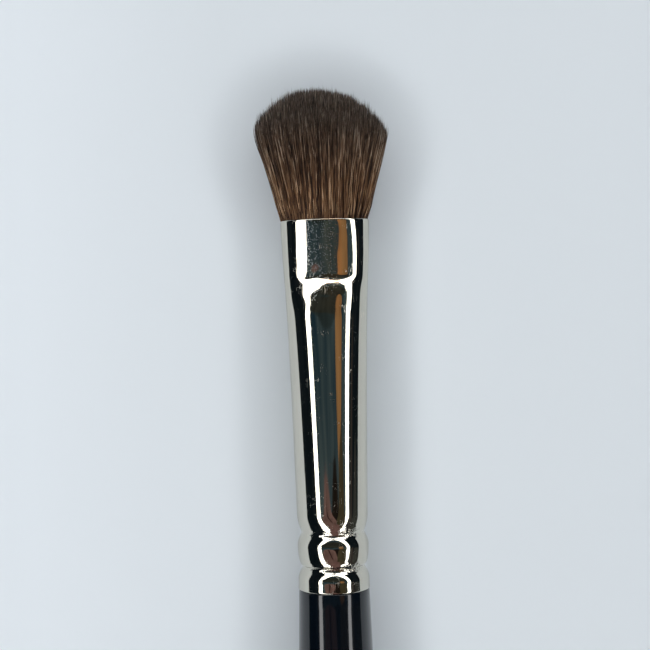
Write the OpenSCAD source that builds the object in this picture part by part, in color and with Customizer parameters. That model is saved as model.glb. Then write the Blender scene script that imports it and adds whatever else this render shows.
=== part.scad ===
// Eyeshadow brush: an oval, domed tuft of hair, a pressed and crimped metal ferrule and a turned handle.
// It lies along Y, level on its belly and its tuft. The hair tip points to +Y and the broad side faces up.

/* [Tuft] */
// Free length of the longest hairs, from the mouth to the top of the dome
tuft_len = 14.4; // [12:0.2:18]
// Free length of the hairs round the rim of the dome
rim_len = 10; // [8:0.2:11.6]
// Width across the fanned hairs
tuft_w = 14.4; // [12.4:0.2:17]
// Thickness through the fanned hairs
tuft_t = 9; // [7.8:0.2:10]
// Length of the roots held in the ferrule
root_len = 9.6; // [9:0.2:12]
// Strands along each side of the square grid that is laid over the oval
strand_grid = 20; // [18:2:20]

/* [Ferrule] */
// Length of the ferrule
ferrule_len = 40.5; // [36:0.5:48]
// Diameter of the round tube
tube_d = 7.85; // [7:0.05:8.6]
// Wall of the tube
tube_wall = 0.32; // [0.25:0.01:0.4]
// How much wider than the tube the mouth is
mouth_flare = 1.9; // [1:0.1:2.2]
// How much wider than the tube it is where the pressed end begins
press_flare = 1.3; // [0.8:0.1:1.5]
// How deep the press sinks each broad face
press_depth = 0.35; // [0.2:0.05:0.5]
// Length of the pressed end
press_len = 6.4; // [5:0.2:7]
// Length of the step from the round body to the pressed end
press_step = 1.1; // [0.8:0.1:1.4]

/* [Crimps] */
// Depth of the two crimped grooves
crimp_depth = 0.38; // [0.25:0.01:0.45]
// Width of a groove's floor
crimp_floor = 0.3; // [0.2:0.05:0.5]
// Length of the bead between the grooves
bead_len = 3.55; // [3:0.05:4.5]
// Length of the band behind the second groove
band_len = 2.3; // [1.8:0.1:3]
// How much larger in diameter than the tube the lip is
lip_flare = 0.15; // [0:0.05:0.3]

/* [Handle] */
// Length of handle that shows behind the ferrule
handle_len = 120; // [90:5:150]
// Diameter at the belly
belly_d = 9; // [8.8:0.1:11]
// Distance from the ferrule's lip to the belly
belly_at = 40; // [30:1:50]
// Diameter of the straight tail
tail_d = 5.4; // [4:0.1:6.5]
// Length of the straight tail
tail_len = 14; // [8:1:24]
// Length of the domed butt
butt_len = 3; // [2:0.1:4]
// How far the lip of the ferrule stands proud of the handle
lip_step = 0.125; // [0.05:0.025:0.2]
// Length of the tenon inside the ferrule
tenon_len = 16.5; // [14:0.5:18]
// Thickness of the glue round the tenon
glue_t = 0.1; // [0.06:0.01:0.15]

/* [Hidden] */
$fn = 96;

// Corners of a pressed section of the tube
sides = 60;
// Clearance between pieces that are held in the bore
bore_gap = 0.05;
// How much the pressed tube laps the turned end across the wall, and along it, where the two are one piece
seam_lap = 0.01;
seam_depth = 0.1;
// Round on the edges of the tube
edge_round = 0.08;

// Share of the body's widening that is left to its last stretch before the press, and how late it comes
late_flare_share = 0.25;
late_flare_power = 4;
// How early the pressed end reaches its full width
mouth_flare_power = 1.6;
// Rings along the pressed end, the step and the body
press_rings = 3;
step_rings = 6;
body_rings = 9;

// Length over which the tube curves into the first groove, and straight tube ahead of it
crimp_lead = 1.8;
crimp_straight = 0.85;
// Length over which the last band rises from the second groove
band_rise = 0.7;
// Points along half a bead and along the last band's rise
bead_steps = 8;
band_steps = 4;

tube_r = tube_d / 2;
// Places along the brush are distances behind the mouth
groove_2_end = ferrule_len - band_len;
bead_end = groove_2_end - crimp_floor;
bead_start = bead_end - bead_len;
groove_1_start = bead_start - crimp_floor;
crimp_start = groove_1_start - crimp_lead;
join_at = crimp_start - crimp_straight;
press_end = press_len + press_step;

// Strands: each has a lower ring at one height, where the fan bends, an upper ring and a tip
fan_bend = 5;
// Share of the fan that is reached at the bend
bend_share = 0.53;
// Height of the upper ring as a share of the strand's length
upper_ring_share = 0.9;
// Sizes of the two rings as shares of the strand's cell
ring_size_shares = [0.95, 0.8];
// Most that a strand falls short of the dome, as a share of its length
short_share = 0.045;
// Shares of a cell that a tip leans by at most, and that a corner of the grid is shifted by
lean_share = 0.25;
shift_share = 0.22;
strand_seed = 41;
// Random draws for each corner of the grid: two for its shift, one for a length and two for a lean
draws_each = 5;
// Corners of a cell, and points of a strand: two rings of corners and a tip
corners = 4;
strand_size = 2 * corners + 1;

// Roots: where the bundle is drawn in for its thread, and how far
waist_draw = 0.5;
waist_lead = 0.8;
thread_t = 0.3;
thread_gap = 0.15;
plug_len = 4;
plug_rings = 2;

// Share of the glue's thickness that is clear on either side of its film
film_gap_share = 0.25;
// Round on the nose of the tenon
nose_round = 0.5;
// Points along the handle
belly_steps = 14;
taper_steps = 30;
dome_steps = 8;

// Rounds of halving that find the spread tube's half thickness
bisections = 24;
eighth_turn = 45;
quarter_turn = 90;
full_turn = 360;

total_len = tuft_len + ferrule_len + handle_len;
lip_r = tube_r + lip_flare / 2;
shoulder_r = lip_r - lip_step;
axis_z = max(belly_d, tuft_t, 2 * lip_r) / 2;

function lerp(a, b, t) = a + (b - a) * t;
function ease(t) = t * t * (3 - 2 * t);
function clamp(t) = min(max(t, 0), 1);

// Girth of an oval from its two half widths
function girth(a, b) = PI * (3 * (a + b) - sqrt((3 * a + b) * (a + 3 * b)));

// Half thickness of the tube where it is spread to half width a: its girth stays the round tube's
function spread_half(a, low = 0, high = tube_r, n = bisections) =
    let (mid = (low + high) / 2)
    n == 0 ? mid
    : girth(a, mid) > girth(tube_r, tube_r) ? spread_half(a, low, mid, n - 1)
    : spread_half(a, mid, high, n - 1);

// Half width of the tube at a distance behind the mouth
function tube_a(s) =
    s < press_end
    ? tube_r + lerp(press_flare, mouth_flare, 1 - pow(s / press_end, mouth_flare_power)) / 2
    : let (v = clamp((join_at - s) / (join_at - press_end)))
      tube_r + press_flare / 2 * lerp(v, pow(v, late_flare_power), late_flare_share);

// Half thickness of the tube: level in the pressed end, then a step up to the spread tube
function pressed_b() = spread_half(tube_a(press_end)) - press_depth;
function tube_b(s) =
    s <= press_len ? pressed_b()
    : s < press_end ? lerp(pressed_b(), pressed_b() + press_depth, ease((s - press_len) / press_step))
    : spread_half(tube_a(s));

// Half widths of the bore, less a gap
function bore_a(s, gap = 0) = tube_a(s) - tube_wall - gap;
function bore_b(s, gap = 0) = tube_b(s) - tube_wall - gap;

// Half widths of the waist of the roots
waist_a = bore_a(root_len, waist_draw);
waist_b = bore_b(press_len, waist_draw);

// Evenly spaced places from one to the next, without the last
function places(from, to, n) = [for (k = [0:n - 1]) lerp(from, to, k / n)];

// Points of a ring [half width, half thickness, height]
function ring_points(ring) =
    [for (i = [0:sides - 1])
        let (turn = full_turn * i / sides)
        [ring[0] * cos(turn), ring[1] * sin(turn), ring[2]]];

// Two triangles for each side between ring k and the next, whose numbers wrap after the last ring
function skin_faces(k, next) = [
    for (i = [0:sides - 1])
        let (j = (i + 1) % sides)
        each [
            [next * sides + i, k * sides + i, k * sides + j],
            [next * sides + i, k * sides + j, next * sides + j]
        ]
];

// Wall closed on itself, from rings that run down its outside and back up its bore
module ring_wall(rings) {
    n = len(rings);
    polyhedron(
        points = [for (r = rings) each ring_points(r)],
        faces = [for (k = [0:n - 1]) each skin_faces(k, (k + 1) % n)]
    );
}

// Solid between the first ring and the last
module ring_solid(rings) {
    n = len(rings);
    top_cap = [for (i = [sides - 1:-1:0]) i];
    end_cap = [for (i = [0:sides - 1]) (n - 1) * sides + i];
    polyhedron(
        points = [for (r = rings) each ring_points(r)],
        faces = concat([for (k = [0:n - 2]) each skin_faces(k, k + 1)], [top_cap, end_cap])
    );
}

// How far an arc that bulges by depth over half a chord has fallen at a distance from its crest
function arc_drop(d, half, depth) =
    let (r = (half * half + depth * depth) / (2 * depth))
    r - sqrt(max(r * r - d * d, 0));

// Outside of the round end, as [radius, distance behind the mouth]
function round_end() = concat(
    [[tube_r, join_at]],
    [for (k = [0:bead_steps])
        let (d = crimp_lead * k / bead_steps)
        [tube_r - arc_drop(d, crimp_lead, crimp_depth), crimp_start + d]],
    [for (k = [-bead_steps:bead_steps])
        let (d = bead_len / 2 * k / bead_steps)
        [tube_r - arc_drop(abs(d), bead_len / 2, crimp_depth), (bead_start + bead_end) / 2 + d]],
    [for (k = [band_steps:-1:0])
        let (d = band_rise * k / band_steps)
        [tube_r - arc_drop(d, band_rise, crimp_depth), groove_2_end + band_rise - d]]
);

// Inside of the round end, drawn in by a wall and a gap, up to the lip
function round_bore(gap) = concat(
    [for (p = round_end()) [p[0] - tube_wall - gap, p[1]]],
    [[lip_r - tube_wall - gap, ferrule_len]]
);

function reversed(list) = [for (k = [len(list) - 1:-1:0]) list[k]];

// Turned solid from points [radius, distance behind the mouth]
module turned(points) {
    rotate_extrude()
        polygon([for (p = points) [p[0], -p[1]]]);
}

// Lays a piece that stands on the Z axis, hair up, along Y
module lay_down() {
    translate([0, total_len / 2 - tuft_len, axis_z])
        rotate([-90, 0, 0])
            children();
}

// Hair tuft

// Point of the unit disc for a point of the unit square: its square rings become round rings
function disc_point(p, q) =
    p == 0 && q == 0 ? [0, 0]
    : abs(p) > abs(q) ? p * [cos(eighth_turn * q / p), sin(eighth_turn * q / p)]
    : q * [sin(eighth_turn * p / q), cos(eighth_turn * p / q)];

// The fan is straight below its bend and above it, so that strands of any length keep to their own cells
function fan(h) =
    h < fan_bend ? bend_share * h / fan_bend
    : lerp(bend_share, 1, (h - fan_bend) / (rim_len - fan_bend));

// The tips of the outermost strands, which stand in the middle of their cells, reach the full width
rim_share = 1 - 1 / strand_grid;
function fan_a(h) = lerp(bore_a(0, bore_gap), tuft_w / 2 / rim_share, fan(h));
function fan_b(h) = lerp(bore_b(0, bore_gap), tuft_t / 2 / rim_share, fan(h));
function fanned(uv, h) = [uv[0] * fan_a(h), uv[1] * fan_b(h), h];
function dome_height(share) = lerp(tuft_len, rim_len, share * share);

module hair_tuft() {
    n = strand_grid;
    row = n + 1;
    cell = 2 / n;
    draws = rands(-1, 1, draws_each * row * row, strand_seed);
    // Corners of the cells: those on the rim stay on the oval, and the rest are shifted at random
    grid = [
        for (j = [0:n], i = [0:n])
            let (inside = i > 0 && i < n && j > 0 && j < n, draw = draws_each * (j * row + i))
            disc_point(cell * i - 1, cell * j - 1)
                + (inside ? shift_share * cell * [draws[draw], draws[draw + 1]] : [0, 0])
    ];

    // A strand is two rings and a tip over its own cell, so that none can cross another
    function strand_points(i, j) =
        let (
            c = [for (k = [0, 1, row + 1, row]) grid[j * row + i + k]],
            mid = (c[0] + c[1] + c[2] + c[3]) / corners,
            draw = draws_each * (j * row + i) + 2,
            outermost = i == 0 || i == n - 1 || j == 0 || j == n - 1,
            len = dome_height(min(norm(mid) / rim_share, 1)) * (1 - short_share * (draws[draw] + 1) / 2),
            lean = outermost ? [0, 0]
                : lean_share * (draws[draw + 1] * (c[1] - c[0]) + draws[draw + 2] * (c[3] - c[0]))
        )
        concat(
            [for (r = [0, 1], k = [0:corners - 1])
                fanned(lerp(mid, c[k], ring_size_shares[r]), [fan_bend, len * upper_ring_share][r])],
            [fanned(mid + lean, len)]
        );

    // Strands that stand side by side split the quads over their shared edge the same way
    function quad_faces(a, a_up, b_up, b, from_a) =
        from_a ? [[a, a_up, b_up], [a, b_up, b]] : [[b, a, a_up], [b, a_up, b_up]];

    function strand_faces(i, j) =
        let (
            ground = [for (k = [0, 1, row + 1, row]) j * row + i + k],
            base = row * row + strand_size * (j * n + i),
            tip = base + 2 * corners
        )
        [for (k = [0:corners - 1])
            let (
                m = (k + 1) % corners,
                from_a = ground[k] < ground[m],
                low = [base + k, base + m],
                high = [low[0] + corners, low[1] + corners]
            )
            each concat(
                quad_faces(ground[k], low[0], low[1], ground[m], from_a),
                quad_faces(low[0], high[0], high[1], low[1], from_a),
                [[high[0], tip, high[1]]]
            )];

    // The roots follow the pressed bore, then draw in where the thread is wound
    rim = concat(
        [for (i = [0:n - 1]) i],
        [for (j = [0:n - 1]) j * row + n],
        [for (i = [n:-1:1]) n * row + i],
        [for (j = [n:-1:1]) j * row]
    );
    roots = [
        [bore_a(press_len / 2, bore_gap), bore_b(press_len / 2, bore_gap), press_len / 2],
        [bore_a(press_len, bore_gap), bore_b(press_len, bore_gap), press_len],
        [waist_a, waist_b, press_len + waist_lead],
        [waist_a, waist_b, root_len]
    ];
    root_base = row * row + strand_size * n * n;
    count = len(rim);
    function root_ring(k, m) = k == 0 ? rim[m % count] : root_base + (k - 1) * count + m % count;
    root_faces = [
        for (k = [0:len(roots) - 1], m = [0:count - 1])
            each [
                [root_ring(k + 1, m), root_ring(k, m), root_ring(k, m + 1)],
                [root_ring(k + 1, m), root_ring(k, m + 1), root_ring(k + 1, m + 1)]
            ]
    ];
    end = root_base + len(roots) * count;
    end_faces = [for (m = [0:count - 1]) [end, root_ring(len(roots), m), root_ring(len(roots), m + 1)]];

    color("#5c4233")
        lay_down()
            polyhedron(
                points = concat(
                    [for (uv = grid) fanned(uv, 0)],
                    [for (j = [0:n - 1], i = [0:n - 1]) each strand_points(i, j)],
                    [for (r = roots, k = rim) [grid[k][0] * r[0], grid[k][1] * r[1], -r[2]]],
                    [[0, 0, -root_len]]
                ),
                faces = concat(
                    [for (j = [0:n - 1], i = [0:n - 1]) each strand_faces(i, j)],
                    root_faces,
                    end_faces
                )
            );
}

// Thread wound round the waist of the roots, behind the pressed end
module root_binding() {
    from = press_len + waist_lead + thread_gap;
    to = root_len - thread_gap;
    inner = [waist_a + bore_gap, waist_b + bore_gap];
    outer = [inner[0] + thread_t, inner[1] + thread_t];
    color("#d8cfb8")
        lay_down()
            ring_wall([
                [outer[0], outer[1], -from],
                [outer[0], outer[1], -to],
                [inner[0], inner[1], -to],
                [inner[0], inner[1], -from]
            ]);
}

// Resin cast over the ends of the roots
module root_plug() {
    stations = concat(places(root_len, root_len + plug_len, plug_rings), [root_len + plug_len]);
    color("#c9a227")
        lay_down()
            ring_solid([for (s = stations) [bore_a(s, bore_gap), bore_b(s, bore_gap), -s]]);
}

// Ferrule
module ferrule() {
    // The polygon goes round the tube's outside, and its corners lie on the bore
    outside = 1 / cos(full_turn / 2 / sides);
    stations = concat(
        places(edge_round, press_len, press_rings),
        places(press_len, press_end, step_rings),
        places(press_end, join_at, body_rings),
        [join_at]
    );
    outer = concat(
        [[tube_a(0) - edge_round, tube_b(0) - edge_round, 0]],
        [for (s = stations) [(tube_a(s) + seam_lap) * outside, (tube_b(s) + seam_lap) * outside, -s]]
    );
    inner = concat(
        [for (s = reversed(stations)) [bore_a(s, seam_lap), bore_b(s, seam_lap), -s]],
        [[bore_a(0) + edge_round, bore_b(0) + edge_round, 0]]
    );
    lip = [
        [lip_r, ferrule_len - edge_round],
        [lip_r - edge_round, ferrule_len]
    ];
    seam_at = join_at - seam_depth;
    round_wall = concat(
        [[tube_r, seam_at]],
        round_end(),
        lip,
        reversed(round_bore(0)),
        [[tube_r - tube_wall, seam_at]]
    );
    color("silver")
        lay_down()
            union() {
                ring_wall(concat(outer, inner));
                turned(round_wall);
            }
}

// Film of glue between the crimped end and the tenon
module tenon_glue() {
    film_gap = film_gap_share * glue_t;
    color("#e8dcb0")
        lay_down()
            turned(concat(round_bore(film_gap), reversed(round_bore(glue_t - film_gap))));
}

// Handle

// Radius of the handle at a distance behind the lip
function handle_r(d) =
    let (taper_end = handle_len - tail_len - butt_len)
    d < belly_at
    ? lerp(belly_d / 2, shoulder_r, pow(1 - d / belly_at, 2))
    : lerp(belly_d / 2, tail_d / 2, ease(clamp((d - belly_at) / (taper_end - belly_at))));

module handle() {
    nose_at = ferrule_len - tenon_len;
    nose_r = bore_b(nose_at, glue_t);
    taper_end = handle_len - tail_len - butt_len;
    tenon = concat(
        [
            [0, nose_at],
            [nose_r - nose_round, nose_at],
            [nose_r, nose_at + nose_round]
        ],
        round_bore(glue_t)
    );
    body_places = concat(places(0, belly_at, belly_steps), places(belly_at, taper_end, taper_steps), [taper_end]);
    body = [for (d = body_places) [handle_r(d), ferrule_len + d]];
    butt = [
        for (k = [0:dome_steps])
            let (turn = quarter_turn * k / dome_steps)
            [tail_d / 2 * cos(turn), ferrule_len + handle_len - butt_len + butt_len * sin(turn)]
    ];
    color("#10151a")
        lay_down()
            turned(concat(tenon, body, butt));
}

hair_tuft();
root_binding();
root_plug();
ferrule();
tenon_glue();
handle();
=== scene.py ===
import math

import bpy
import numpy as np
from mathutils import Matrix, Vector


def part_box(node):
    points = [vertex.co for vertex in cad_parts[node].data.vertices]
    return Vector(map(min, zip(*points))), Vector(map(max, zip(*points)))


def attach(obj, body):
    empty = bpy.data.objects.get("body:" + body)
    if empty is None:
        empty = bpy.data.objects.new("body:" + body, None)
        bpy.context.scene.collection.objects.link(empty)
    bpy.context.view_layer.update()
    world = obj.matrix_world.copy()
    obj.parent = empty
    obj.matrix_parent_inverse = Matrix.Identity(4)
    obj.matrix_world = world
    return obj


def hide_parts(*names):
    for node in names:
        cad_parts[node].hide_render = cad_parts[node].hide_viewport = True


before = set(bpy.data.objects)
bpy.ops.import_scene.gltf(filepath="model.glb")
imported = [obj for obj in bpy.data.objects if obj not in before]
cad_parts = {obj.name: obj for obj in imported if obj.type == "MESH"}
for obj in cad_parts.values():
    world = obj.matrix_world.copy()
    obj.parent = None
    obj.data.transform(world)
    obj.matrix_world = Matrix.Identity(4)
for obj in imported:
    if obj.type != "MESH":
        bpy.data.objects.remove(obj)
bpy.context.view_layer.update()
mm = 0.001

# Camera: it hangs above the brush a little behind the tuft and looks straight down, turned so that the brush
# leans to the left by a degree and a half.
frame_px = 650
focal_px = 1260
camera_height = 143.5 * mm
camera_at = (-0.25 * mm, 61.5 * mm, camera_height)
camera_turn = math.radians(-1.53)
lens_data = bpy.data.cameras.new("camera")
lens_data.sensor_width = 36
lens_data.lens = lens_data.sensor_width * focal_px / frame_px
lens_data.clip_start = 10 * mm
camera = bpy.data.objects.new("camera", lens_data)
camera.location = camera_at
camera.rotation_euler = (0, 0, camera_turn)
bpy.context.scene.collection.objects.link(camera)
bpy.context.scene.camera = camera
bpy.context.scene.view_settings.view_transform = "Standard"


# Table: a wide, matt, pale blue-grey top under the brush. Its colour drifts a little from place to
# place, as that of painted board does, and on top of that it is painted lighter at the left and darker from
# just left of the brush on: painted light and shade.
class Signal:
    """What a node gives out. Sums and products of signals add their Math nodes."""

    def __init__(self, finish, socket):
        self.finish = finish
        self.socket = socket

    def math(self, operation, *terms):
        return self.finish.node("ShaderNodeMath", {"operation": operation}, dict(enumerate(terms)))

    def __add__(self, other):
        return self.math("ADD", self, other)

    def __sub__(self, other):
        return self.math("SUBTRACT", self, other)

    def __rsub__(self, other):
        return self.math("SUBTRACT", other, self)

    def __mul__(self, other):
        return self.math("MULTIPLY", self, other)

    def __abs__(self):
        return self.math("ABSOLUTE", self)

    __radd__ = __add__
    __rmul__ = __mul__


class Finish:
    """A material: a Principled shader with fixed sockets, and the nodes that feed the others."""

    def __init__(self, name, **fixed):
        self.material = bpy.data.materials.new(name)
        self.material.use_nodes = True
        self.tree = self.material.node_tree
        self.shader = self.tree.nodes["Principled BSDF"]
        for socket, value in fixed.items():
            self.shader.inputs[socket.replace("_", " ")].default_value = value

    def node(self, kind, settings, inputs, output=0):
        made = self.tree.nodes.new(kind)
        for name, value in settings.items():
            if name == "stops":
                self.set_stops(made.color_ramp, value)
            else:
                setattr(made, name, value)
        for socket, value in inputs.items():
            if isinstance(value, Signal):
                self.tree.links.new(value.socket, made.inputs[socket])
            else:
                made.inputs[socket].default_value = value
        return Signal(self, made.outputs[output])

    def set_stops(self, ramp, stops):
        for place, colour in stops[2:]:
            ramp.elements.new(place)
        for element, (place, colour) in zip(ramp.elements, stops):
            element.position = place
            element.color = (*colour, 1)

    def place(self, turn=0, stretch=(1, 1, 1)):
        """The point on the object, for a pattern turned about Z and then stretched along its own axes."""
        point = self.node("ShaderNodeTexCoord", {}, {}, "Object")
        settings = {"Vector": point, "Rotation": (0, 0, turn), "Scale": stretch}
        return self.node("ShaderNodeMapping", {"vector_type": "TEXTURE"}, settings)

    def noise(self, place, grain, detail=3, rough=0.5):
        """Noise from 0 to 1 whose lumps are about grain wide."""
        settings = {"Vector": place, "Scale": 1 / grain, "Detail": detail, "Roughness": rough}
        return self.node("ShaderNodeTexNoise", {}, settings, "Fac")

    def spread(self, value, low, high):
        """Maps low to 0 and high to 1, and holds the rest there."""
        return self.node("ShaderNodeMapRange", {}, {"Value": value, "From Min": low, "From Max": high})

    def blend(self, share, first, second):
        """Mixes two colours, each a signal or three numbers."""
        sides = [c if isinstance(c, Signal) else (*c, 1) for c in (first, second)]
        return self.node("ShaderNodeMix", {"data_type": "RGBA"}, {0: share, 6: sides[0], 7: sides[1]}, 2)

    def bump(self, height, depth):
        """Tilts the surface as if height, from 0 to 1, were that deep."""
        inputs = {"Height": height, "Distance": depth, "Strength": 1.0}
        self.feed("Normal", self.node("ShaderNodeBump", {}, inputs))

    def feed(self, socket, signal):
        self.tree.links.new(signal.socket, self.shader.inputs[socket])


def wear(piece, finish):
    piece.data.materials.clear()
    piece.data.materials.append(finish.material)


table_side = 12000 * mm
shade_from = -34 * mm
shade_to = -8 * mm
board_patch = 45 * mm
board = Finish("table_paint", Roughness=0.75, Specular_IOR_Level=0.25)
board_point = board.place()
board_x = board.node("ShaderNodeSeparateXYZ", {}, {"Vector": board_point}, "X")
# Painted light and shade: lighter left of shade_from, darker from shade_to on; the noise is the board's own
# drift.
drift_and_painted_shade = board.spread(board_x, shade_from, shade_to) + 0.3 * board.noise(board_point, board_patch, 2)
board.feed("Base Color", board.blend(drift_and_painted_shade, (0.83, 0.885, 0.94), (0.735, 0.785, 0.83)))
bpy.ops.object.select_all(action="DESELECT")
bpy.ops.mesh.primitive_plane_add(size=1)
table = bpy.context.object
table.name = "table"
bpy.ops.transform.resize(value=(table_side, table_side, 1))
bpy.ops.object.transform_apply(location=True, rotation=True, scale=True)
wear(table, board)

# Light: a round lamp hangs a metre up in a dark tent, with a dark disc under its middle, so that the metal
# mirrors a bright ring. Paper ovals under the disc put the brown, mauve and olive streaks in the metal, and
# a grey sheet that stands at the right shows in its right edge.
lamp_height = 1000 * mm
disc_height = 985 * mm
card_height = 970 * mm
card_step = 3 * mm
lamp_x = 50 * mm
lamp_r = 1310 * mm
disc_r = 885 * mm
lamp_radiance = 4.65
lamp_data = bpy.data.lights.new("round_lamp", "AREA")
lamp_data.shape = "DISK"
lamp_data.size = 2 * lamp_r
lamp_data.energy = (math.pi * lamp_r) ** 2 * lamp_radiance
lamp = bpy.data.objects.new("round_lamp", lamp_data)
lamp.location = (lamp_x, camera_at[1], lamp_height)
lamp.visible_camera = False
bpy.context.scene.collection.objects.link(lamp)


def glowing_cloth(name, grain, dim, bright):
    """Matt cloth that glows faintly, mottled between two colours."""
    cloth = Finish(name, Roughness=1, Specular_IOR_Level=0, Base_Color=(0, 0, 0, 1), Emission_Strength=1)
    mottle = cloth.spread(cloth.noise(cloth.place(), grain), 0.35, 0.65)
    cloth.feed("Emission Color", cloth.blend(mottle, dim, bright))
    return cloth


tent_side = 4400 * mm
tent_height = 1050 * mm
tent_patch = 600 * mm
bpy.ops.object.select_all(action="DESELECT")
bpy.ops.mesh.primitive_cube_add(size=1, location=(0, camera_at[1], tent_height / 2))
tent = bpy.context.object
tent.name = "tent"
bpy.ops.transform.resize(value=(tent_side, tent_side, tent_height))
bpy.ops.object.transform_apply(location=True, rotation=True, scale=True)
bpy.ops.object.mode_set(mode="EDIT")
bpy.ops.mesh.select_all(action="DESELECT")
bpy.ops.object.mode_set(mode="OBJECT")
for face in tent.data.polygons:
    face.select = face.normal.z < -0.5
bpy.ops.object.mode_set(mode="EDIT")
bpy.ops.mesh.delete(type="ONLY_FACE")
bpy.ops.object.mode_set(mode="OBJECT")
tent.visible_camera = False
wear(tent, glowing_cloth("tent_cloth", tent_patch, (0.003, 0.006, 0.009), (0.009, 0.013, 0.017)))


def hang_oval(name, centre, half, turn, height, cloth, tilt=0):
    bpy.ops.object.select_all(action="DESELECT")
    bpy.ops.mesh.primitive_circle_add(vertices=128, radius=1, fill_type="NGON")
    oval = bpy.context.object
    oval.name = name
    oval.scale = (*half, 1)
    oval.rotation_euler = (0, tilt, turn)
    oval.location = (centre[0], camera_at[1] + centre[1], height)
    bpy.ops.object.transform_apply(location=True, rotation=True, scale=True)
    oval.visible_camera = False
    wear(oval, cloth)
    return oval


disc_patch = 320 * mm
disc_cloth = glowing_cloth("disc_cloth", disc_patch, (0.012, 0.03, 0.045), (0.07, 0.098, 0.105))
hang_oval("disc", (lamp_x, 0), (disc_r, disc_r), 0, disc_height, disc_cloth)
paper_patch = 200 * mm
dim_share = 0.65
# Each paper has its place and half sizes in millimetres, its turn and its glow
for step, (name, x, y, half_x, half_y, turn, colour) in enumerate((
    ("dusk", -50, 345, 830, 275, 0, (0.03, 0.044, 0.046)),
    ("umber", -50, 385, 800, 270, 0, (0.034, 0.037, 0.031)),
    ("brown", 445, 64, 158, 168, 0.19, (0.38, 0.2, 0.085)),
    ("soot", 150, -425, 330, 350, 0, (0.018, 0.013, 0.01)),
    ("olive", 520, -480, 330, 420, 0, (0.072, 0.059, 0.034)),
    ("mauve", -220, -420, 430, 320, -0.25, (0.2, 0.118, 0.106)),
    ("mauve_drop", 130, -1000, 380, 450, 0, (0.2, 0.11, 0.1)),
    ("red_line", -170, -300, 25, 240, 0.72, (0.03, 0.01, 0.01)),
    ("grey", 1480, -850, 200, 640, 0, (0.085, 0.08, 0.072)),
    ("taupe", 1900, -800, 350, 900, 0, (0.05, 0.042, 0.038)),
)):
    dim = [dim_share * part for part in colour]
    paper = glowing_cloth(name + "_paper", paper_patch, dim, colour)
    height = card_height - step * card_step
    card = hang_oval(name + "_card", (x * mm, y * mm), (half_x * mm, half_y * mm), turn, height, paper)
    card.visible_diffuse = False
    card.visible_shadow = False
side_at = 2150 * mm
side_half = 480 * mm, 900 * mm
side_back = 190 * mm
side_patch = 300 * mm
side_cloth = glowing_cloth("side_cloth", side_patch, (0.036, 0.038, 0.036), (0.066, 0.068, 0.062))
side_centre = side_at, -side_half[1] - side_back
side_sheet = hang_oval("side_sheet", side_centre, side_half, 0, side_half[0], side_cloth, math.pi / 2)
side_sheet.visible_diffuse = False
side_sheet.visible_shadow = False

sky = bpy.data.worlds.new("pale_room")
bpy.context.scene.world = sky
sky.use_nodes = True
sky.node_tree.nodes["Background"].inputs["Color"].default_value = (0.66, 0.72, 0.77, 1)

# Ferrule: a drawn brass tube, nickel plated. Its mouth is spread and pressed oval to grip the hair, and a
# roller has crimped it twice on the handle. A circle is drawn out ring by ring over it and back through it.
low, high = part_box("ferrule")
mouth_y = high.y
lip_y = low.y
axis_z = (low.z + high.z) / 2
mouth_a = (high.x - low.x) / 2
ferrule_len = mouth_y - lip_y
tube_r = 3.925 * mm
tube_wall = 0.32 * mm
edge_round = 0.13 * mm
press_a = 4.575 * mm
press_depth = 0.35 * mm
press_end = 7.5 * mm
press_roll = math.radians(-2.47)
flare_power = 1.6
dip_depth = 0.167 * mm
dip_at = 1.23 * mm
ramp_at = 6.03 * mm
ramp_len = 2.52 * mm
late_flare_share = 0.25
lead_depth = 0.4 * mm
crimp_depth = 0.47 * mm
crimp_floor = 0.28 * mm
crimp_lead = 1.95 * mm
crimp_straight = 0.4 * mm
rise_len = 1.33 * mm
rise_power = 1.7
band_rise = 1.2 * mm
bead_back = 2.2 * mm
bead_edge = 0.3 * mm
band_len = 2.35 * mm
lip_proud = 0.035 * mm
groove_2_end = ferrule_len - band_len
bead_end = groove_2_end - crimp_floor
bead_crest = bead_end - bead_back
bead_start = bead_crest - rise_len
crimp_start = bead_start - crimp_floor - crimp_lead
join_at = crimp_start - crimp_straight
lip_r = tube_r + lip_proud
tube_corners = 96
solved_within = 1e-7
same_place = 0.001 * mm


def girth(a, b):
    return math.pi * (3 * (a + b) - math.sqrt((3 * a + b) * (a + 3 * b)))


def spread_half(a):
    """Half thickness of the round tube once it's spread to half width a: its girth stays."""
    least, most = 0, tube_r
    while most - least > solved_within:
        b = (least + most) / 2
        if girth(a, b) > girth(tube_r, tube_r):
            most = b
        else:
            least = b
    return b


def ease(t):
    t = min(max(t, 0), 1)
    return t * t * (3 - 2 * t)


pressed_b = spread_half(press_a) - press_depth


def ramp_share(s):
    """Share of the press's depth that the tube has regained at s: it rises soon and evens out slowly."""
    u = min(max((s - ramp_at) / ramp_len, 0), 1)
    return u * u * (6 - 8 * u + 3 * u * u)


def pressed_size(s):
    """Half width and half thickness of the tube at a distance s behind its mouth, ahead of the crimps."""
    if s < press_end:
        a = press_a + (mouth_a - press_a) * (1 - (s / press_end) ** flare_power)
        round_b = spread_half(press_a)
    else:
        v = max((join_at - s) / (join_at - press_end), 0)
        a = tube_r + (press_a - tube_r) * (v + (v**4 - v) * late_flare_share)
        round_b = spread_half(a)
    depth = press_depth + dip_depth * ease((s - dip_at) / (ramp_at - dip_at))
    return a, round_b - depth * (1 - ramp_share(s))


def press_turn(s):
    """How far the ring at s is turned about the axis: the press was a little out of true."""
    return press_roll * (1 - ramp_share(s))


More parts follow.
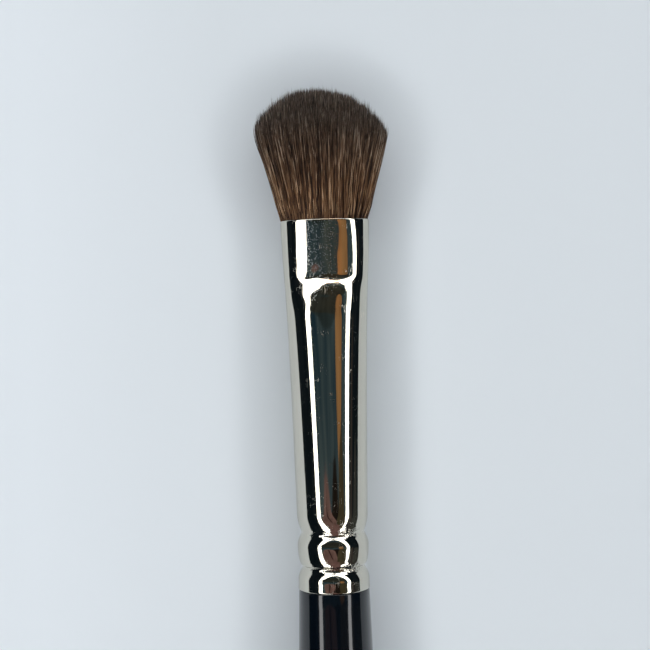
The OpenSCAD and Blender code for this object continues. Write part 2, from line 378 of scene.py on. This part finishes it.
def crimped_radius(s):
    """Radius of the tube behind join_at."""
    if s < crimp_start:
        return tube_r
    if s < crimp_start + crimp_lead:
        return tube_r - lead_depth * ((s - crimp_start) / crimp_lead) ** 2
    if s < bead_start:
        return tube_r - crimp_depth + (crimp_depth - lead_depth) * (bead_start - s) / crimp_floor
    if s < bead_crest:
        return tube_r - crimp_depth * ((bead_crest - s) / rise_len) ** rise_power
    if s < bead_end:
        return tube_r - crimp_depth * (1 - math.sqrt(1 - ((s - bead_crest) / bead_back) ** 2))
    if s > groove_2_end:
        band_at = groove_2_end + band_rise
        drop = crimp_depth * (max(band_at - s, 0) / band_rise) ** rise_power
        flare = max(s - band_at, 0) / (ferrule_len - band_at)
        return tube_r - drop + (lip_r - tube_r) * flare**3
    return tube_r - crimp_depth


def steps(start, end, count):
    """Evenly spaced places from start on, without the end."""
    return [start + (end - start) * k / count for k in range(count)]


def turn_selected(angle, y):
    """Turns what is selected about the brush's axis."""
    bpy.ops.transform.rotate(value=-angle, orient_axis="Y", center_override=(0, y, axis_z))


def draw_out(name, rings, corners, closed_ends=(False, False), turned=lambda s: 0, back_to_start=False):
    """A tube along -Y, drawn from a circle through rings of (distance behind the mouth, half sizes)."""
    bpy.ops.object.select_all(action="DESELECT")
    s, a, b = rings[0]
    bpy.ops.mesh.primitive_circle_add(
        vertices=corners,
        radius=1,
        location=(0, mouth_y - s, axis_z),
        rotation=(math.pi / 2, 0, 0),
    )
    tube = bpy.context.object
    tube.name = name
    tube.data.name = name
    bpy.ops.object.transform_apply(location=True, rotation=True, scale=True)
    bpy.ops.object.mode_set(mode="EDIT")
    bpy.ops.mesh.select_all(action="SELECT")
    bpy.ops.transform.resize(value=(a, 1, b), center_override=(0, mouth_y - s, axis_z))
    turn_selected(turned(s), mouth_y - s)
    if closed_ends[0]:
        bpy.ops.mesh.edge_face_add()
        bpy.ops.mesh.poke()
        select_ring(tube, mouth_y - s, skip_middle=True)
    for next_s, next_a, next_b in rings[1:]:
        bpy.ops.mesh.extrude_edges_move(TRANSFORM_OT_translate={"value": (0, s - next_s, 0)})
        bpy.ops.transform.resize(
            value=(next_a / a, 1, next_b / b), center_override=(0, mouth_y - next_s, axis_z)
        )
        if turned(next_s) != turned(s):
            turn_selected(turned(next_s) - turned(s), mouth_y - next_s)
        s, a, b = next_s, next_a, next_b
    if closed_ends[1]:
        bpy.ops.mesh.edge_face_add()
        bpy.ops.mesh.poke()
    if back_to_start:
        select_ring(tube, mouth_y - s, skip_middle=False)
        bpy.ops.mesh.bridge_edge_loops()
    bpy.ops.mesh.select_all(action="SELECT")
    bpy.ops.mesh.remove_doubles(threshold=same_place)
    bpy.ops.mesh.normals_make_consistent(inside=False)
    bpy.ops.object.mode_set(mode="OBJECT")
    return tube


def walled(rings, outer_gap, wall):
    """The rings, less a gap, and back again inside a wall of that thickness."""
    outside = [(s, a - outer_gap, b - outer_gap) for s, a, b in rings]
    return outside + [(s, a - wall, b - wall) for s, a, b in reversed(outside)]


def select_ring(tube, y, skip_middle):
    """Selects the vertices at that place along the tube, with or without the one on its axis."""
    bpy.ops.mesh.select_all(action="DESELECT")
    bpy.ops.object.mode_set(mode="OBJECT")
    for vertex in tube.data.vertices:
        on_axis = abs(vertex.co.x) < same_place and abs(vertex.co.z - axis_z) < same_place
        vertex.select = abs(vertex.co.y - y) < same_place and not (skip_middle and on_axis)
    for edge in tube.data.edges:
        edge.select = all(tube.data.vertices[v].select for v in edge.vertices)
    bpy.ops.object.mode_set(mode="EDIT")


def select_patch(tube, x_span, s_span):
    """Selects a patch of the tube's top: from, to, in millimetres."""
    bpy.ops.mesh.select_all(action="DESELECT")
    bpy.ops.object.mode_set(mode="OBJECT")
    for vertex in tube.data.vertices:
        x, s = vertex.co.x / mm, (mouth_y - vertex.co.y) / mm
        vertex.select = x_span[0] < x < x_span[1] and s_span[0] <= s <= s_span[1] and vertex.co.z > axis_z
    bpy.ops.object.mode_set(mode="EDIT")


def pull_softly(by, reach):
    """Moves what is selected, with a soft edge that reaches so far round it, in millimetres."""
    bpy.ops.transform.translate(
        value=[part * mm for part in by],
        use_proportional_edit=True,
        proportional_edit_falloff="SMOOTH",
        proportional_size=reach * mm,
    )


def finish_with(piece, kind, **settings):
    """Adds a modifier to the piece and applies it."""
    bpy.ops.object.select_all(action="DESELECT")
    piece.select_set(True)
    bpy.context.view_layer.objects.active = piece
    modifier = piece.modifiers.new(kind.lower(), kind)
    for name, value in settings.items():
        setattr(modifier, name, value)
    bpy.ops.object.modifier_apply(modifier=modifier.name)


pressed_places = [
    *steps(0, dip_at, 3),
    *steps(dip_at, ramp_at, 9),
    *steps(ramp_at, ramp_at + ramp_len, 16),
    *steps(ramp_at + ramp_len, 2 * ramp_at, 10),
    *steps(2 * ramp_at, join_at, 14),
]
round_places = [
    join_at,
    *steps(crimp_start, crimp_start + crimp_lead, 9),
    *steps(crimp_start + crimp_lead, bead_start, 2),
    *steps(bead_start, bead_crest, 9),
    *steps(bead_crest, bead_end - bead_edge, 8),
    *steps(bead_end - bead_edge, bead_end, 4),
    *steps(bead_end, groove_2_end, 2),
    *steps(groove_2_end, groove_2_end + band_rise, 7),
    *steps(groove_2_end + band_rise, ferrule_len, 4),
    ferrule_len,
]
tube_rings = [(s, *pressed_size(s)) for s in pressed_places]
tube_rings += [(s, crimped_radius(s), crimped_radius(s)) for s in round_places]
ferrule = draw_out(
    "ferrule_tube", walled(tube_rings, 0, tube_wall), tube_corners, turned=press_turn, back_to_start=True
)
bpy.ops.object.mode_set(mode="EDIT")
# Soft dents and rises that the press left, in millimetres: across, behind the mouth, the move, its reach
for x_span, s_span, by, reach in (
    ((-2.77, -2.47), (0.23, 5.7), (0, 0, -0.045), 1.0),
    ((1.12, 1.88), (2.23, 6.3), (0, 0, -0.1), 2.63),
    ((-2.26, -1.19), (7.29, 7.74), (0, 0, -0.169), 2.75),
    ((1.36, 3.36), (5.02, 6.12), (0, 0, 0.046), 2.48),
    ((-2.74, -2.27), (8.05, 8.55), (0, 0, -0.084), 2.17),
    ((0.87, 2.14), (8.16, 9.26), (0, 0, -0.036), 1.39),
    ((-0.5, -0.15), (7.1, 7.45), (0, 0, 0.102), 1.69),
    ((2.09, 2.39), (0.52, 2.53), (0, 0, 0.016), 1.2),
):
    select_patch(ferrule, x_span, s_span)
    pull_softly(by, reach)
bpy.ops.object.mode_set(mode="OBJECT")
rounding = {"width": edge_round, "segments": 3, "limit_method": "ANGLE", "angle_limit": math.radians(60)}
finish_with(ferrule, "BEVEL", **rounding)
finish_with(ferrule, "SUBSURF", levels=1, render_levels=1)
bpy.ops.object.shade_smooth()

zone_fade = 3 * mm
pit_size = 0.13 * mm
pit_patch = 0.8 * mm
pits_left = -2.5 * mm, -2.1 * mm
pits_right = 1.7 * mm, 0.7 * mm
# Where the plating is tinted warm across the pressed zone: a painted reflection of the brown streak.
painted_streak_left = -0.9 * mm, 0.3 * mm
painted_streak_right = 1.9 * mm, 1.2 * mm
scratch_len = 1.5 * mm
marks_ahead = 0.75 * mm, 0.1 * mm
marks_behind = 0.3 * mm
marks_right = 0.9 * mm, 1.9 * mm
dent_size = 0.3 * mm
dent_depth = 0.03 * mm
ripple_size = 3 * mm
smudge_size = 2.5 * mm
nickel = Finish("nickel_plate", Metallic=1)
skin = nickel.place()
across = nickel.node("ShaderNodeSeparateXYZ", {}, {"Vector": skin}, "X")
along = nickel.node("ShaderNodeSeparateXYZ", {}, {"Vector": skin}, "Y")
pressed_zone = nickel.spread(along, mouth_y - press_end - zone_fade, mouth_y - ramp_at)
pitted_side = nickel.spread(across, *pits_right) * nickel.spread(across, *pits_left)
voronoi = {"Vector": skin, "Scale": 1 / pit_size}
cells = nickel.node("ShaderNodeTexVoronoi", {}, voronoi, "Distance")
cell_tone = nickel.node("ShaderNodeTexVoronoi", {}, voronoi, "Color")
pit_patches = nickel.spread(nickel.noise(skin, pit_patch), 0.15, 0.5)
pit_patches = pit_patches * (0.03 + 0.97 * pressed_zone * pitted_side)
pits = nickel.spread(cells, 0.3, 0.14) * nickel.spread(cell_tone, 0.1, 0.6) * pit_patches
# Painted reflection: the plating is tinted warm across the middle of the pressed zone, where the brown streak
# shows, beside the brown paper's real reflection.
painted_streak = pressed_zone * (nickel.spread(across, *painted_streak_left) * nickel.spread(across, *painted_streak_right))
plating_and_painted_streak = nickel.blend(painted_streak, (0.61, 0.585, 0.51), (0.92, 0.7, 0.5))
nickel.feed("Base Color", nickel.blend(pits, plating_and_painted_streak, (0.6, 0.68, 0.76)))
scratches = 0
# Fine scratches in three directions: turn, stretch, width in millimetres and strength
for turn, length, grain, depth in ((0.03, 14, 0.3, 0.4), (-0.75, 10, 0.5, 0.2), (1.5, 14, 0.4, 0.3)):
    lines = nickel.noise(nickel.place(turn, (1, length, 1)), grain * mm, 0)
    broken = nickel.spread(nickel.noise(nickel.place(turn), scratch_len, 1), 0.6, 0.68)
    scratches = depth * nickel.spread(abs(lines - 0.5), 0.014, 0.0) * broken + scratches
crimp_marks = 0
for front, back in ((crimp_start + crimp_lead, bead_start), (bead_end, groove_2_end)):
    ahead = nickel.spread(along, *(mouth_y - front + way for way in marks_ahead))
    behind = nickel.spread(along, mouth_y - back - marks_behind, mouth_y - back)
    crimp_marks = ahead * behind + crimp_marks
crimp_marks = crimp_marks * (0.25 + 0.75 * nickel.spread(across, *marks_right))
dents = nickel.noise(skin, dent_size, 2) * crimp_marks
ripple = nickel.noise(skin, ripple_size, 1)
smudges = nickel.noise(skin, smudge_size, 4)
nickel.feed("Roughness", 0.035 + 0.04 * smudges + scratches + 0.42 * pits)
nickel.bump(4 * dents + 0.15 * ripple - 0.15 * pits, dent_depth)
wear(ferrule, nickel)
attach(ferrule, "root")
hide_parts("ferrule")

# Roots: the hair is tied with waxed thread behind the pressed end of the ferrule, and amber resin is cast
# behind it. Both are hidden once the tuft is set.
turns_per_mm = 1.3
thread_depth = 0.05 * mm
thread = Finish("waxed_thread", Roughness=0.55, Sheen_Weight=0.3)
turns = thread.node(
    "ShaderNodeTexWave",
    {"wave_type": "BANDS", "bands_direction": "Y"},
    {"Vector": thread.place(), "Scale": turns_per_mm / mm, "Distortion": 1.2, "Detail": 1.0},
    "Fac",
)
thread.feed("Base Color", thread.blend(turns, (0.36, 0.31, 0.2), (0.72, 0.66, 0.52)))
thread.bump(turns, thread_depth)
wear(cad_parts["root_binding"], thread)

plug_play = 0.1 * mm
cloud_size = 0.9 * mm
low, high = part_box("root_plug")
plug_start = mouth_y - high.y
plug_end = mouth_y - low.y
plug_less = tube_wall + plug_play
plug_rings = []
for s in [*steps(plug_start, plug_end, 6), plug_end]:
    a, b = pressed_size(s)
    plug_rings.append((s, a - plug_less, b - plug_less))
plug = draw_out("resin_plug", plug_rings, tube_corners // 2, closed_ends=(True, True), turned=press_turn)
finish_with(plug, "BEVEL", **rounding)
bpy.ops.object.shade_smooth()
resin = Finish("amber_resin", Roughness=0.12, Coat_Weight=0.6)
clouds = resin.noise(resin.place(), cloud_size)
resin.feed("Base Color", resin.blend(clouds, (0.4, 0.2, 0.02), (0.66, 0.42, 0.06)))
resin.feed("Roughness", 0.08 + 0.12 * clouds)
wear(plug, resin)
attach(plug, "root")
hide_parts("root_plug")

# Glue: a thin film of hardened glue that fills the space between the handle's tenon and the crimped end of
# the tube. It's hidden in the finished brush.
glue_t = 0.1 * mm
glue_play = glue_t / 4
lump_size = 0.4 * mm
lump_depth = 0.02 * mm
low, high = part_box("tenon_glue")
film_places = [s for s in round_places if low.y < mouth_y - s < high.y]
film_rings = [(s, crimped_radius(s), crimped_radius(s)) for s in film_places]
film_rings = walled(film_rings, tube_wall + glue_play, glue_t - 2 * glue_play)
film = draw_out("glue_film", film_rings, tube_corners // 2, back_to_start=True)
finish_with(film, "SUBSURF", levels=1, render_levels=1)
bpy.ops.object.shade_smooth()
glue = Finish("hard_glue", Roughness=0.5)
lumps = glue.noise(glue.place(), lump_size)
glue.feed("Base Color", glue.blend(lumps, (0.62, 0.52, 0.28), (0.84, 0.77, 0.55)))
glue.bump(lumps, lump_depth)
wear(film, glue)
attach(film, "root")
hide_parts("tenon_glue")

# Handle: turned wood with a tenon that the ferrule is crimped on, under black gloss lacquer. Its profile goes
# from the tenon's nose over the shoulder and the belly to the straight tail, drawn ring by ring.
low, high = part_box("handle")
butt_y = low.y
nose_y = high.y
belly_r = (high.x - low.x) / 2
lip_step = 0.085 * mm
shoulder_r = lip_r - lip_step
belly_at = 40 * mm
tail_r = 2.7 * mm
tail_len = 14 * mm
butt_len = 3 * mm
nose_round = 0.5 * mm
handle_len = lip_y - butt_y
taper_end = handle_len - tail_len - butt_len
nose_at = mouth_y - nose_y
handle_corners = 96


def handle_radius(d):
    """Radius at a distance d behind the ferrule's lip."""
    if d < belly_at:
        return belly_r + (shoulder_r - belly_r) * (1 - d / belly_at) ** 2
    return belly_r + (tail_r - belly_r) * ease((d - belly_at) / (taper_end - belly_at))


bore_play = tube_wall + glue_t
nose_r = spread_half(pressed_size(nose_at)[0]) - bore_play
handle_rings = [(nose_at, nose_r - nose_round, nose_r - nose_round)]
handle_rings += [(nose_at + nose_round, nose_r, nose_r)]
handle_rings += [(s, crimped_radius(s) - bore_play, crimped_radius(s) - bore_play) for s in round_places]
for d in [*steps(0, belly_at, 24), *steps(belly_at, taper_end, 40), taper_end]:
    handle_rings.append((ferrule_len + d, handle_radius(d), handle_radius(d)))
for turn in steps(0, math.pi / 2, 10):
    rim = tail_r * math.cos(turn)
    handle_rings.append((ferrule_len + handle_len - butt_len * (1 - math.sin(turn)), rim, rim))
handle = draw_out("handle_wood", handle_rings, handle_corners, closed_ends=(True, True))
finish_with(handle, "BEVEL", **rounding)
bpy.ops.object.shade_smooth()

peel_size = 1.3 * mm
peel_depth = 0.006 * mm
dust_size = 0.16 * mm
black_patch = 9 * mm
blacks = (0.001, 0.003, 0.006), (0.003, 0.005, 0.008)
lacquer = Finish("black_lacquer", Specular_IOR_Level=0.3, Coat_Weight=0.5)
lacquer_skin = lacquer.place()
peel = lacquer.noise(lacquer_skin, peel_size, 2)
dust = lacquer.spread(lacquer.noise(lacquer_skin, dust_size, 1), 0.77, 0.85)
lacquer.feed("Base Color", lacquer.blend(lacquer.noise(lacquer_skin, black_patch), *blacks))
lacquer.feed("Roughness", 0.08 + 0.07 * peel + 0.3 * dust)
lacquer.bump(peel + 0.6 * dust, peel_depth)
wear(handle, lacquer)
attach(handle, "root")
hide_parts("handle")

# Tuft: thousands of fine natural hairs, brown at the root and nearly black at the tip, that fan out of the
# mouth to an oval dome. Each is a tapered curve: side hairs show along their whole length, crown hairs only
# near their tips. A core fills the middle and goes through the mouth to the tied roots; its dark brown is
# painted shade, for the shade deep in the bundle between the hairs.
low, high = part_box("hair_tuft")
tuft_len = high.y - mouth_y
fan_half = np.array([(high.x - low.x) / 2, (high.z - low.z) / 2])
mouth_half = np.array([mouth_a, pressed_b])
root_half = mouth_half - tube_wall
lip_swell = 0.33 * mm
swell_len = 0.5 * mm
root_depth = 1.2 * mm
rim_len = 9.9 * mm
dome_rise = 0.08 * mm
dome_tilt = 0.55 * mm
side_lean = -0.12 * mm
dome_power = 3.4
fan_len = 9.3 * mm
fan_power = 1.06
late_fan = 0.12
hair_seed = 7
chance = np.random.default_rng(hair_seed)


def bundle_half(h):
    """Half width and half thickness of the bundle at heights h above the mouth."""
    swell = np.clip(h / swell_len, 0, 1)
    swell = lip_swell * swell * (2 - swell)
    opening = np.clip(h / fan_len, 0, 1) ** fan_power + late_fan * np.clip(h / fan_len - 1, 0, None)
    full = fan_half - root_half - lip_swell
    return [root_half[k] + swell + full[k] * opening for k in (0, 1)]


def dome_height(share):
    """Height at which a hair ends whose place is that share of the way from the axis to the outside."""
    return tuft_len + dome_rise - (tuft_len + dome_rise - rim_len) * share**dome_power


core_share = 0.88
core_sink = 1.3 * mm
core_corners = 48
core_top_share = 0.04
bound_low, bound_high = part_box("root_binding")
thread_wall = 0.35 * mm
root_play = 0.15 * mm
waist = (bound_high.x - bound_low.x) / 2 - thread_wall, (bound_high.z - bound_low.z) / 2 - thread_wall
core_rings = [(mouth_y - low.y, *waist), (mouth_y - bound_high.y - root_play, *waist)]
for s in steps(ramp_at, root_depth, 5):
    a, b = pressed_size(s)
    core_rings.append((s, a - tube_wall - root_play, b - tube_wall - root_play))
for h in steps(-root_depth, rim_len - core_sink, 12):
    a, b = bundle_half(h)
    core_rings.append((-h, a * core_share, b * core_share))
for share in steps(1, core_top_share, 10):
    h = dome_height(share) - core_sink
    a, b = bundle_half(h)
    core_rings.append((-h, a * core_share * share, b * core_share * share))
core = draw_out("hair_core", core_rings, core_corners, closed_ends=(True, True), turned=press_turn)
bpy.ops.object.shade_smooth()

even_steps = np.array([0.8191725, 0.6710436, 0.5497005])
lock_count = 700
lock_share = np.sqrt(chance.uniform(0, 1, lock_count))
lock_turn = chance.uniform(0, 2 * math.pi, lock_count)
locks = np.c_[lock_share * np.cos(lock_turn), lock_share * np.sin(lock_turn)]
lock_pull = 0.06
uneven_by = 0.22 * mm
lean_by = 0.42 * mm, 0.2 * mm
stray_by = 0.03
bend_power = 0.7
wave_by = 0.05 * mm
wave_len = 6 * mm
hair_r = 0.043 * mm
thick_share = 1.25
thinner_by = 0.6
tip_share = 0.35
tip_taper = 2.5


def hair_paths(count, least_share, shown_len, points):
    """Paths of the last shown_len of hairs spread evenly from least_share to the outside, and tones."""
    turn, depth, tone = ((chance.uniform(0, 1, 3) + even_steps * np.arange(count)[:, None]) % 1).T
    share = np.sqrt(least_share**2 + (1 - least_share**2) * depth)
    spot = np.c_[share * np.cos(2 * math.pi * turn), share * np.sin(2 * math.pi * turn)]
    lock = np.argmin(np.linalg.norm(spot[:, None] - locks[None], axis=2), axis=1)
    tip = dome_height(share) - dome_tilt * spot[:, 0] + chance.normal(0, uneven_by, count)
    start = np.maximum(-root_depth, tip - shown_len)
    height = start[:, None] + (tip - start)[:, None] * np.linspace(0, 1, points)
    grown = np.clip(height / tuft_len, 0, 1)
    half = bundle_half(height)
    loose = np.maximum(share[:, None], 1) + stray_by * chance.exponential(1, (count, 1)) * grown**2
    path = np.empty((count, points, 3))
    path[:, :, 1] = mouth_y + height
    for side, axis in ((0, 0), (1, 2)):
        gathered = spot[:, side, None] + lock_pull * grown**3 * (locks[lock, side] - spot[:, side])[:, None]
        lean = lean_by[side] * chance.normal(0, 1, (count, 1)) * grown
        phase = chance.uniform(0, 2 * math.pi, (count, 1))
        wave = chance.normal(0, wave_by, (count, 1)) * np.sin(phase + 2 * math.pi * height / wave_len)
        fanned = root_half[side] + (half[side] - root_half[side]) * np.abs(spot[:, side, None]) ** bend_power
        path[:, :, axis] = gathered * fanned + lean + wave * np.clip(2 * grown, 0, 1)
    out = np.hypot(path[:, :, 0] / half[0], path[:, :, 2] / half[1])
    held = np.minimum(1, loose / np.maximum(out, 0.01))
    x, z = path[:, :, 0] * held, path[:, :, 2] * held
    path[:, :, 0] = x * math.cos(press_roll) + z * math.sin(press_roll) + side_lean * grown
    path[:, :, 2] = axis_z - x * math.sin(press_roll) + z * math.cos(press_roll)
    path[:, :, 2] = np.maximum(path[:, :, 2], 2 * hair_r)
    return path, tone


def grow_hairs(name, path, tone):
    """Makes one piece of hairs that follow the paths, with the tone of each and the height of every point."""
    count, points, _ = path.shape
    strands = bpy.data.curves.new(name, "CURVE")
    strands.dimensions = "3D"
    strands.bevel_depth = 1
    strands.bevel_resolution = 0
    height = (path[:, :, 1] - mouth_y) / tuft_len
    to_tip = height[:, -1:] - height
    radius = hair_r * (thick_share - thinner_by * tone[:, None])
    radius = radius * np.clip(tip_share + to_tip * tip_taper, 0, 1)
    radius[:, [0, -1]] = 0
    for hair, thickness in zip(path, radius):
        spline = strands.splines.new("POLY")
        spline.points.add(points - 1)
        spline.points.foreach_set("co", np.c_[hair, np.ones(points)].ravel())
        spline.points.foreach_set("radius", thickness)
    piece = bpy.data.objects.new(name, strands)
    bpy.context.scene.collection.objects.link(piece)
    bpy.ops.object.select_all(action="DESELECT")
    piece.select_set(True)
    bpy.context.view_layer.objects.active = piece
    bpy.ops.object.convert(target="MESH")
    around = len(piece.data.vertices) // (count * points)
    for attribute, value in (("tone", np.repeat(tone, points)), ("height", height.ravel())):
        made = piece.data.attributes.new(attribute, "FLOAT", "POINT")
        made.data.foreach_set("value", np.repeat(value, around).astype(np.float32))
    bpy.ops.object.mode_set(mode="EDIT")
    bpy.ops.mesh.select_all(action="SELECT")
    bpy.ops.mesh.remove_doubles(threshold=hair_r / 100)
    bpy.ops.mesh.normals_make_consistent(inside=False)
    bpy.ops.object.mode_set(mode="OBJECT")
    bpy.ops.object.shade_smooth()
    return piece


side_kind = {"count": 3300, "least_share": 0.84, "shown_len": 2 * tuft_len, "points": 9}
crown_kind = {"count": 4500, "least_share": 0, "shown_len": 4 * mm, "points": 5}
side_hairs = [grow_hairs(f"side_hairs_{k + 1}", *hair_paths(**side_kind)) for k in range(2)]
crown_hairs = [grow_hairs(f"crown_hairs_{k + 1}", *hair_paths(**crown_kind)) for k in range(3)]

tone_spread = 500
tone_changes = 7
painted_shade_half = 4 * mm
fur = Finish("brown_hair", Roughness=0.45, Specular_IOR_Level=0.16)
height = fur.node("ShaderNodeAttribute", {"attribute_name": "height"}, {}, "Fac")
hair_tone = fur.node("ShaderNodeAttribute", {"attribute_name": "tone"}, {}, "Fac")
own_place = fur.node("ShaderNodeCombineXYZ", {}, {"X": tone_spread * hair_tone, "Y": tone_changes * height})
# Painted shade: the hair over the middle of the broad side, which faces the lamp, is painted darker, fading
# out 4 mm to each side and towards the mouth and the dome.
from_middle = abs(fur.node("ShaderNodeSeparateXYZ", {}, {"Vector": fur.place()}, "X"))
middle = fur.spread(from_middle, painted_shade_half, 0)
middle = middle * fur.spread(height, 0.1, 0.35) * fur.spread(height, 0.75, 0.5)
tone = 0.17 - 0.16 * middle + 0.7 * hair_tone + 1.1 * (fur.noise(own_place, 1, 1) - 0.5)
root_stops = [
    (0.25, (0.02, 0.009, 0.005)),
    (0.5, (0.11, 0.055, 0.027)),
    (0.74, (0.25, 0.134, 0.066)),
    (0.95, (0.8, 0.52, 0.31)),
]
tip_stops = [
    (0.2, (0.014, 0.009, 0.0065)),
    (0.5, (0.062, 0.042, 0.032)),
    (0.75, (0.18, 0.13, 0.095)),
    (0.95, (0.5, 0.4, 0.32)),
]
root_brown = fur.node("ShaderNodeValToRGB", {"stops": root_stops}, {"Fac": tone}, "Color")
tip_brown = fur.node("ShaderNodeValToRGB", {"stops": tip_stops}, {"Fac": tone}, "Color")
darkened = fur.spread(height + 0.3 * tone, 0.42, 0.95)
fur.feed("Base Color", fur.blend(darkened, root_brown, tip_brown))
core_grain = 0.2 * mm
core_stretch = 12
# Painted shade: the core is dark brown for the shade deep in the bundle between the hairs.
shade = Finish("core_shade", Roughness=0.9, Specular_IOR_Level=0.1)
depth_mottle = shade.noise(shade.place(0, (1, core_stretch, 1)), core_grain)
shade.feed("Base Color", shade.blend(depth_mottle, (0.02, 0.011, 0.006), (0.075, 0.042, 0.025)))
wear(core, shade)
for piece in (*side_hairs, *crown_hairs):
    wear(piece, fur)
for piece in (core, *side_hairs, *crown_hairs):
    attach(piece, "root")
    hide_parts("hair_tuft")
